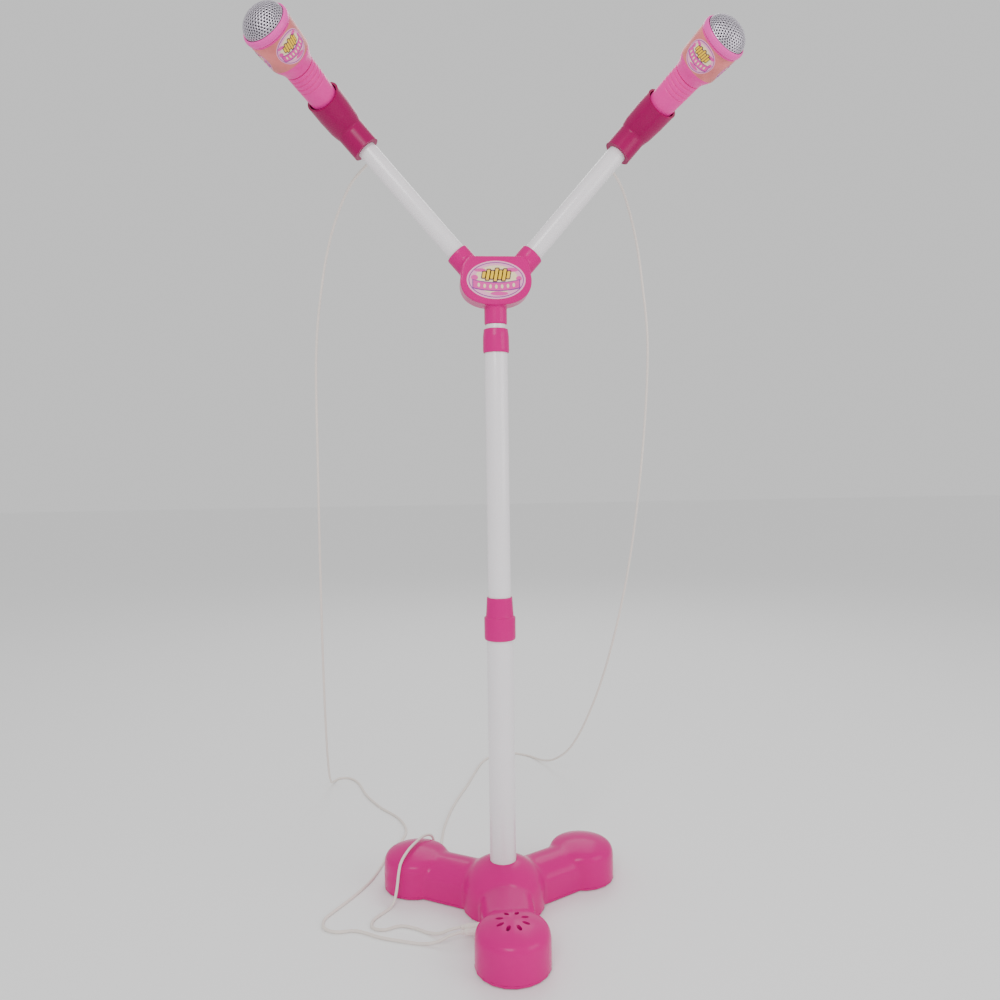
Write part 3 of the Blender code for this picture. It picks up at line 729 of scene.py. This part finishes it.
def grille(label, matrix, body):
    """A flattened perforated dome over a dark foam cap."""
    built = bmesh.new()
    bmesh.ops.create_icosphere(built, subdivisions=GRILLE_LEVEL, radius=22.3 * MM)
    low = [v for v in built.verts if v.co.z < -2 * MM]
    bmesh.ops.delete(built, geom=low, context="VERTS")
    inner = [v for v in built.verts if not v.is_boundary]
    punched = kdtree.KDTree(len(inner))
    for index, vert in enumerate(inner):
        punched.insert(vert.co, index)
    punched.balance()
    bmesh.ops.bevel(built, geom=inner, offset=GRILLE_HOLE, segments=1, affect="VERTICES", clamp_overlap=True)
    holes = [f for f in built.faces if punched.find(f.calc_center_median())[2] < HOLE_REACH]
    bmesh.ops.delete(built, geom=holes, context="FACES_ONLY")
    for vert in built.verts:
        if vert.co.z > 0:
            vert.co.z *= 0.65
        vert.co.z += MIC_RIM
    mesh_piece = piece(f"mic_{label}_grille_punched", built, SILVER, body, matrix, 60)
    thick = mesh_piece.modifiers.new("thick", "SOLIDIFY")
    thick.thickness = 0.6 * MM
    thick.offset = -1
    bpy.context.view_layer.update()
    apply_modifiers(mesh_piece)
    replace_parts(mesh_piece, f"mic_{label}_grille")
    foam = [(0, MIC_RIM - 2 * MM), (20.6 * MM, MIC_RIM - 2 * MM)]
    for step in range(0, 9):
        angle = math.radians(90 * step / 9)
        foam.append((20.6 * MM * math.cos(angle), MIC_RIM + 12.9 * MM * math.sin(angle)))
    foam.append((0, MIC_RIM + 12.9 * MM))
    turned(f"mic_{label}_foam", foam, FOAM, body, matrix, 0.1 * MM, 48)


def head_radius(z):
    """Radius of the label zone, which tapers from the ring to the shoulder."""
    low, high = MIC_RIM - 38 * MM, MIC_RIM - 7 * MM
    return 22.1 * MM + (23.7 - 22.1) * MM * (z - low) / (high - low)


def microphone(label, side):
    body, matrix, rim = f"mic_{label}", mic_place(side), MIC_RIM
    bottom = rim - 52 * MM
    grille(label, matrix, body)
    ring = turned(
        f"mic_{label}_ring_fine",
        [(22.6 * MM, rim - 6 * MM), (24.5 * MM, rim - 6 * MM), (25 * MM, rim - 3 * MM),
         (24.6 * MM, rim - 0.4 * MM), (23.6 * MM, rim + 0.8 * MM), (22.5 * MM, rim + 0.4 * MM)],
        RING_PINK, body, matrix, 0.7 * MM,
    )
    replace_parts(ring, f"mic_{label}_ring")
    head = turned(
        f"mic_{label}_head_fine",
        [(0, bottom + 3 * MM), (14.5 * MM, bottom + 3 * MM), (14.5 * MM, bottom), (16.2 * MM, bottom),
         (16.9 * MM, bottom + 3 * MM), (18.6 * MM, bottom + 7 * MM), (20.9 * MM, bottom + 11 * MM),
         (22.1 * MM, rim - 38 * MM), (23.7 * MM, rim - 7 * MM), (24.2 * MM, rim - 6.3 * MM),
         (21.5 * MM, rim - 6.3 * MM), (20 * MM, rim - 36 * MM), (14 * MM, bottom + 6 * MM),
         (0, bottom + 6 * MM)],
        PINK, body, matrix, 1.6 * MM,
    )
    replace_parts(head, f"mic_{label}_head")
    low, high = rim - 37.5 * MM, rim - 8 * MM
    turned(
        f"mic_{label}_wrap",
        [(head_radius(low) - 0.3 * MM, low), (head_radius(low) + 0.12 * MM, low),
         (head_radius(high) + 0.12 * MM, high), (head_radius(high) - 0.3 * MM, high)],
        PEACH, body, matrix, 0.05 * MM, 96,
    )
    middle, half = (low + high) / 2, 17.5 * MM
    for copy in range(3):
        turn = math.radians(BADGE_TURNS[label] + 120 * copy)

        def to_surface(x, y, high_by, turn=turn):
            z = middle + y * half * 1.25
            radius = head_radius(z) + 0.14 * MM + high_by
            angle = turn + x * half / head_radius(z)
            return matrix @ Vector((radius * math.cos(angle), radius * math.sin(angle), z))

        emblem(f"mic_{label}_badge_{copy + 1}", body, to_surface, 0.0)
    grips = []
    for index in range(4):
        top = bottom - GAP - index * 5 * MM
        radius = 16.1 * MM - index * 0.1 * MM
        grips += [(radius, top - 0.4 * MM), (radius, top - 3.8 * MM), (radius - 0.8 * MM, top - 4.4 * MM),
                  (radius - 0.8 * MM, top - 4.8 * MM)]
    handle = [(0, bottom + 2.5 * MM), (13 * MM, bottom + 2.5 * MM), (13 * MM, bottom - GAP)] + grips
    handle += [(15.6 * MM, bottom - 21 * MM), (14.2 * MM, MIC_TAIL + 12 * MM), (13.8 * MM, MIC_TAIL + 1 * MM),
               (12.8 * MM, MIC_TAIL), (3.3 * MM, MIC_TAIL), (3.3 * MM, MIC_TAIL + 8 * MM),
               (11 * MM, MIC_TAIL + 10 * MM), (11 * MM, bottom - 4 * MM), (0, bottom - 4 * MM)]
    grip = turned(f"mic_{label}_handle_fine", handle[::-1], PINK, body, matrix, 0.6 * MM)
    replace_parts(grip, f"mic_{label}_handle")


BADGE_TURNS = {"left": -88, "right": -92}


# ---------------------------------------------------------------- kept CAD nodes, floor and light


def dress_nodes():
    looks = {"base_plate": MAGENTA, "battery_door": MAGENTA, "mast_socket": MAGENTA, "circuit_board": BOARD,
             "power_switch": BLACK, "lower_bush": BLACK, "speaker_basket": STEEL, "speaker_cone": BLACK}
    for name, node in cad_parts.items():
        obj = node if isinstance(node, bpy.types.Object) else bpy.data.objects[name]
        look = looks.get(name)
        if look is None and name.startswith("battery_"):
            look = BATTERY
        if look is None and ("screw" in name or "capsule" in name):
            look = STEEL
        if look is None and name.startswith("foot"):
            look = RUBBER
        if look is None and name.startswith("jack"):
            look = BLACK
        if look is None and name.endswith("relief"):
            look = PINK
        if look is None:
            continue
        obj.data.materials.clear()
        obj.data.materials.append(look)


def stage():
    built = bmesh.new()
    bmesh.ops.create_grid(built, x_segments=2, y_segments=2, size=9)
    floor_look = bpy.data.materials.new("floor_pale")
    floor_look.use_nodes = True
    shader = floor_look.node_tree.nodes["Principled BSDF"]
    shader.inputs["Base Color"].default_value = (0.93, 0.93, 0.93, 1)
    shader.inputs["Roughness"].default_value = 0.7
    floor = piece("floor", built, floor_look, None)
    world = bpy.data.worlds.new("studio")
    world.use_nodes = True
    world.node_tree.nodes["Background"].inputs["Color"].default_value = (1, 1, 1, 1)
    world.node_tree.nodes["Background"].inputs["Strength"].default_value = 0.8
    bpy.context.scene.world = world
    for name, place, energy, size in (
        ("key", (-0.5, -1.6, 1.5), 16, 0.8),
        ("fill", (1.4, -0.9, 0.9), 8, 1.0),
        ("back", (0.3, 1.5, 1.7), 10, 1.2),
    ):
        data = bpy.data.lights.new(name, "AREA")
        data.energy = energy
        data.size = size
        light = bpy.data.objects.new(name, data)
        aim = Vector((0, 0, 0.5)) - Vector(place)
        light.matrix_world = Matrix.Translation(place) @ aim.to_track_quat("-Z", "Y").to_matrix().to_4x4()
        bpy.context.scene.collection.objects.link(light)


camera()
cords()
stage()
base()
mast()
hub()
arms()
for mic_label, mic_side in SIDES.items():
    microphone(mic_label, mic_side)
dress_nodes()
